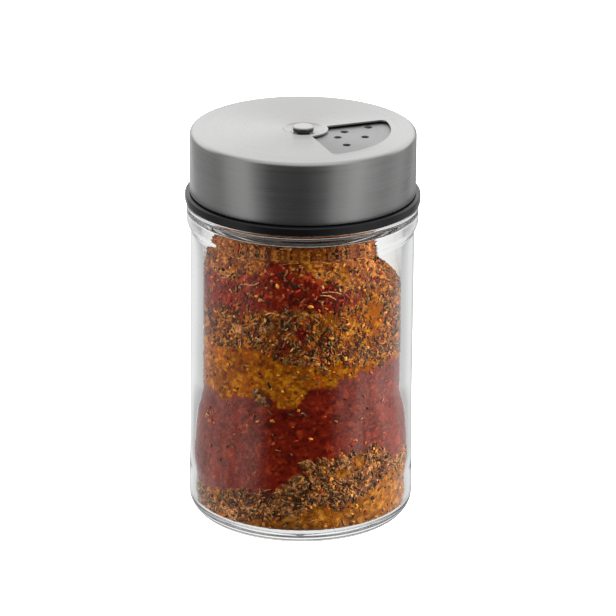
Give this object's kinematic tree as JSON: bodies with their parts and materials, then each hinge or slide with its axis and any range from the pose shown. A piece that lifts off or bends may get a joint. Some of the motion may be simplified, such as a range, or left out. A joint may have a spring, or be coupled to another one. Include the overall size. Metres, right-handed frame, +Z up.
{
  "type": "rotary-top spice shaker",
  "caption": "Glass spice jar with a screw-on steel shaker lid whose turning top brings a window over sifter holes or a pour opening.",
  "frame": {"origin": "centre of the base, on the surface that the jar stands on", "axes": "+Z up along the jar's axis; the picture was taken from the -Y side, so +X is to its right"},
  "size_m": [0.0494, 0.0494, 0.0856],
  "materials": {
    "clear_glass": "clear, polished",
    "lid_steel": "fine brushed",
    "disc_steel": "fine brushed, duller",
    "rivet_steel": "polished",
    "spring_steel": "plain rolled",
    "cap_plastic": "satin black",
    "seal_rubber": "matt white",
    "turmeric": "fine powder",
    "herbs": "flakes and powder",
    "paprika": "fine powder",
    "mixed_spice": "flakes and powder"
  },
  "bodies": {
    "jar": {"glass_jar": "clear_glass", "turmeric_bed": "turmeric", "herb_layer": "herbs", "paprika_layer": "paprika", "turmeric_layer": "turmeric", "chilli_layer": "paprika", "spice_mound": "mixed_spice"},
    "lid_seal": {"rim_seal": "seal_rubber"},
    "lid": {"inner_cap": "cap_plastic", "sifter_disc": "disc_steel", "spring_washer": "spring_steel", "rivet_washer": "spring_steel", "pivot_rivet": "rivet_steel"},
    "selector": {"selector_cap": "lid_steel"}
  },
  "joints": [
    {"name": "lid_lift", "type": "slide", "parent": "jar", "child": "lid_seal", "axis": [0, 0, 1], "range_m": [0, 0.0126]},
    {"name": "lid_turn", "type": "hinge", "parent": "lid_seal", "child": "lid", "pos_m": [0, 0, 0.0695], "axis": [0, 0, 1], "range_deg": [0, 1080]},
    {"name": "selector_turn", "type": "hinge", "parent": "lid", "child": "selector", "pos_m": [0, 0, 0.085], "axis": [0, 0, 1], "continuous": true}
  ],
  "couplings": [
    {"joint": "lid_lift", "follows": "lid_turn", "m_per_rad": 0.00066845}
  ]
}
